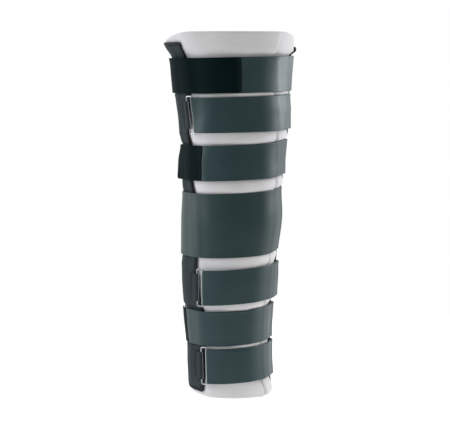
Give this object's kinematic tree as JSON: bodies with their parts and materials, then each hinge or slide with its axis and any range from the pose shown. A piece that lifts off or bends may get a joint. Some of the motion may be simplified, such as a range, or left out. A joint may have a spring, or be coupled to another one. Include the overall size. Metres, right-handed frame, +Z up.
{
  "type": "knee immobilizer",
  "caption": "Tapered open sleeve of padded foam lapped over the front, with stiff side panels and hook-and-loop straps, worn round the leg to hold the knee straight.",
  "frame": {"origin": "middle of the bottom of the object's box, at the level of the lower edge that it stands on", "axes": "+Z up the leg from the calf end to the thigh end, -Y out of the front of the knee, +X to the right of someone who faces the front"},
  "size_m": [0.1891, 0.1934, 0.508],
  "materials": {
    "foam_cover": "brushed pale grey laminate over foam",
    "panel_fabric": "charcoal woven fabric",
    "binding_tape": "black woven edge tape",
    "strap_loop": "dark slate loop fabric with a soft sheen",
    "hook_tab": "matt black hook tape",
    "ring_wire": "bright plated steel wire"
  },
  "bodies": {
    "root": {"foam_wrap": "foam_cover", "left_stay_panel": "panel_fabric", "right_stay_panel": "panel_fabric", "left_panel_binding": "binding_tape", "right_panel_binding": "binding_tape", "knee_strap": "strap_loop", "thigh_strap_top": "strap_loop", "thigh_strap_top_tab": "hook_tab", "thigh_strap_top_ring": "ring_wire", "thigh_strap_top_keeper": "panel_fabric", "thigh_strap_middle": "strap_loop", "thigh_strap_middle_tab": "hook_tab", "thigh_strap_middle_ring": "ring_wire", "thigh_strap_middle_keeper": "panel_fabric", "thigh_strap_lower": "strap_loop", "thigh_strap_lower_tab": "hook_tab", "thigh_strap_lower_ring": "ring_wire", "thigh_strap_lower_keeper": "panel_fabric", "calf_strap_upper": "strap_loop", "calf_strap_upper_tab": "hook_tab", "calf_strap_upper_ring": "ring_wire", "calf_strap_upper_keeper": "panel_fabric", "calf_strap_middle": "strap_loop", "calf_strap_middle_tab": "hook_tab", "calf_strap_middle_ring": "ring_wire", "calf_strap_middle_keeper": "panel_fabric", "calf_strap_lower": "strap_loop", "calf_strap_lower_tab": "hook_tab", "calf_strap_lower_ring": "ring_wire", "calf_strap_lower_keeper": "panel_fabric"}
  },
  "joints": []
}
